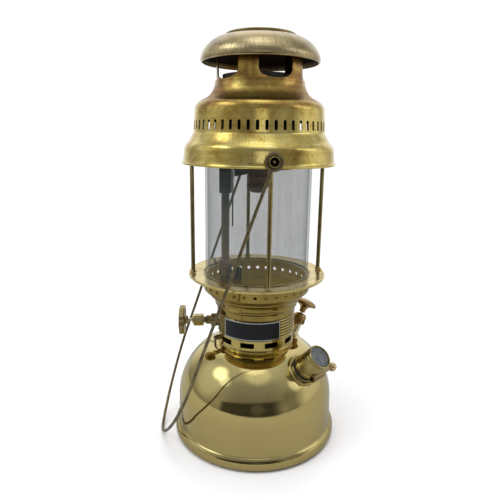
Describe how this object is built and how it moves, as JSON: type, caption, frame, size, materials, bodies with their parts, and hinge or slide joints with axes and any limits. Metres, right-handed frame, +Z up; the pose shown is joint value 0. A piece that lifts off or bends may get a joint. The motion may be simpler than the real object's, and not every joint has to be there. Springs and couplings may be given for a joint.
{
  "type": "kerosene pressure lantern",
  "caption": "Brass kerosene pressure lantern with a pump-up tank, glass globe in a rod cage, slotted hood with a windowed chimney and cap, and a long swinging wire bail.",
  "frame": {"origin": "on the lantern's vertical axis, on the table that the foot ring stands on", "axes": "+Z up along the tank, globe and hood; -Y is the front, towards the blank plate; -X is the side of the handwheel and the lowered bail; the pivots of the bail lie along Y"},
  "size_m": [0.1857, 0.17, 0.3999],
  "materials": {
    "polished_brass": "mirror polished",
    "yellow_brass": "polished",
    "aged_brass": "polished, with brown patina",
    "satin_brass": "brushed",
    "brown_brass": "oxidised",
    "bronze": "heat tinted",
    "dark_steel": "heat tarnished",
    "sooted_steel": "sooted",
    "clear_glass": "clear",
    "black_rubber": "matt",
    "clay": "fired clay",
    "leather": "oiled",
    "black_enamel": "gloss enamel",
    "pale_dial": "matt paint"
  },
  "bodies": {
    "lantern": {"tank_shell": "polished_brass", "ribbed_collar": "yellow_brass", "name_plate": "black_enamel", "gallery_bowl": "yellow_brass", "gallery_rim": "yellow_brass", "gallery_floor": "aged_brass", "globe_seat": "aged_brass", "globe_glass": "clear_glass", "cage_ring": "aged_brass", "cage_rod_front": "yellow_brass", "cage_rod_right": "yellow_brass", "cage_rod_back": "yellow_brass", "cage_rod_left": "yellow_brass", "pivot_stud_front": "satin_brass", "pivot_stud_back": "satin_brass", "sleeve_plate": "dark_steel", "inner_chimney": "dark_steel", "burner_spider": "sooted_steel", "control_body": "brown_brass", "pickup_tube": "satin_brass", "packing_nut": "polished_brass", "union_nut": "bronze", "vaporizer_tube": "dark_steel", "fuel_jet": "brown_brass", "vaporizer_bar": "sooted_steel", "mixing_tube": "sooted_steel", "mixing_chamber": "bronze", "burner_nozzle": "clay", "preheater_body": "brown_brass", "preheater_torch": "bronze", "filler_neck": "yellow_brass", "pump_barrel": "satin_brass", "pump_check_valve": "yellow_brass", "pump_cap_nut": "bronze"},
    "swing_bail": {"bail": "brown_brass"},
    "hood": {"hood_shell": "aged_brass", "hood_chimney": "aged_brass", "hood_cap": "satin_brass", "hood_top_plate": "satin_brass"},
    "wheel": {"wheel_spindle": "satin_brass", "handwheel": "brown_brass"},
    "pricker": {"pricker_rod": "dark_steel"},
    "plunger": {"pump_leather": "leather", "pump_rod": "satin_brass", "pump_knob": "bronze"},
    "gasket": {"cap_gasket": "black_rubber"},
    "cap": {"filler_cap": "yellow_brass", "gauge_dial": "pale_dial", "gauge_glass": "clear_glass", "gauge_bezel": "polished_brass"},
    "needle": {"gauge_needle": "black_enamel"},
    "release_screw": {"release_stem": "dark_steel", "release_knob": "satin_brass"},
    "lever": {"preheater_lever": "brown_brass"}
  },
  "joints": [
    {"name": "bail_swing", "type": "hinge", "parent": "lantern", "child": "swing_bail", "pos_m": [0, 0, 0.287], "axis": [0, 1, 0], "range_deg": [0, 250]},
    {"name": "hood_lift", "type": "slide", "parent": "lantern", "child": "hood", "axis": [0, 0, 1], "range_m": [0, 0.06]},
    {"name": "wheel_turn", "type": "hinge", "parent": "lantern", "child": "wheel", "pos_m": [0, 0, 0.12], "axis": [-0.9936, 0.1132, 0], "range_deg": [0, 180]},
    {"name": "pricker_rise", "type": "slide", "parent": "lantern", "child": "pricker", "axis": [0, 0, 1], "range_m": [0, 0.002]},
    {"name": "pump_stroke", "type": "slide", "parent": "lantern", "child": "plunger", "axis": [0.406, 0.185, 0.8949], "range_m": [0, 0.06]},
    {"name": "cap_rise", "type": "slide", "parent": "lantern", "child": "gasket", "axis": [0.4285, -0.5387, 0.7254], "range_m": [0, 0.006]},
    {"name": "cap_turn", "type": "hinge", "parent": "gasket", "child": "cap", "pos_m": [0.0386, -0.04852, 0.08473], "axis": [0.4285, -0.5387, 0.7254], "range_deg": [0, 1080]},
    {"name": "needle_turn", "type": "hinge", "parent": "cap", "child": "needle", "pos_m": [0.0386, -0.04852, 0.08473], "axis": [0.4285, -0.5387, 0.7254], "range_deg": [0, 270]},
    {"name": "release_turn", "type": "hinge", "parent": "cap", "child": "release_screw", "pos_m": [0.0487, -0.06122, 0.08367], "axis": [0.7826, 0.6225, 0], "range_deg": [0, 360]},
    {"name": "lever_turn", "type": "hinge", "parent": "lantern", "child": "lever", "pos_m": [0, 0, 0.106], "axis": [-0.9799, -0.1994, 0], "range_deg": [0, 90]}
  ],
  "couplings": [
    {"joint": "pricker_rise", "follows": "wheel_turn", "m_per_rad": 0.0006366},
    {"joint": "cap_turn", "follows": "cap_rise", "rad_per_m": 3141.5}
  ]
}
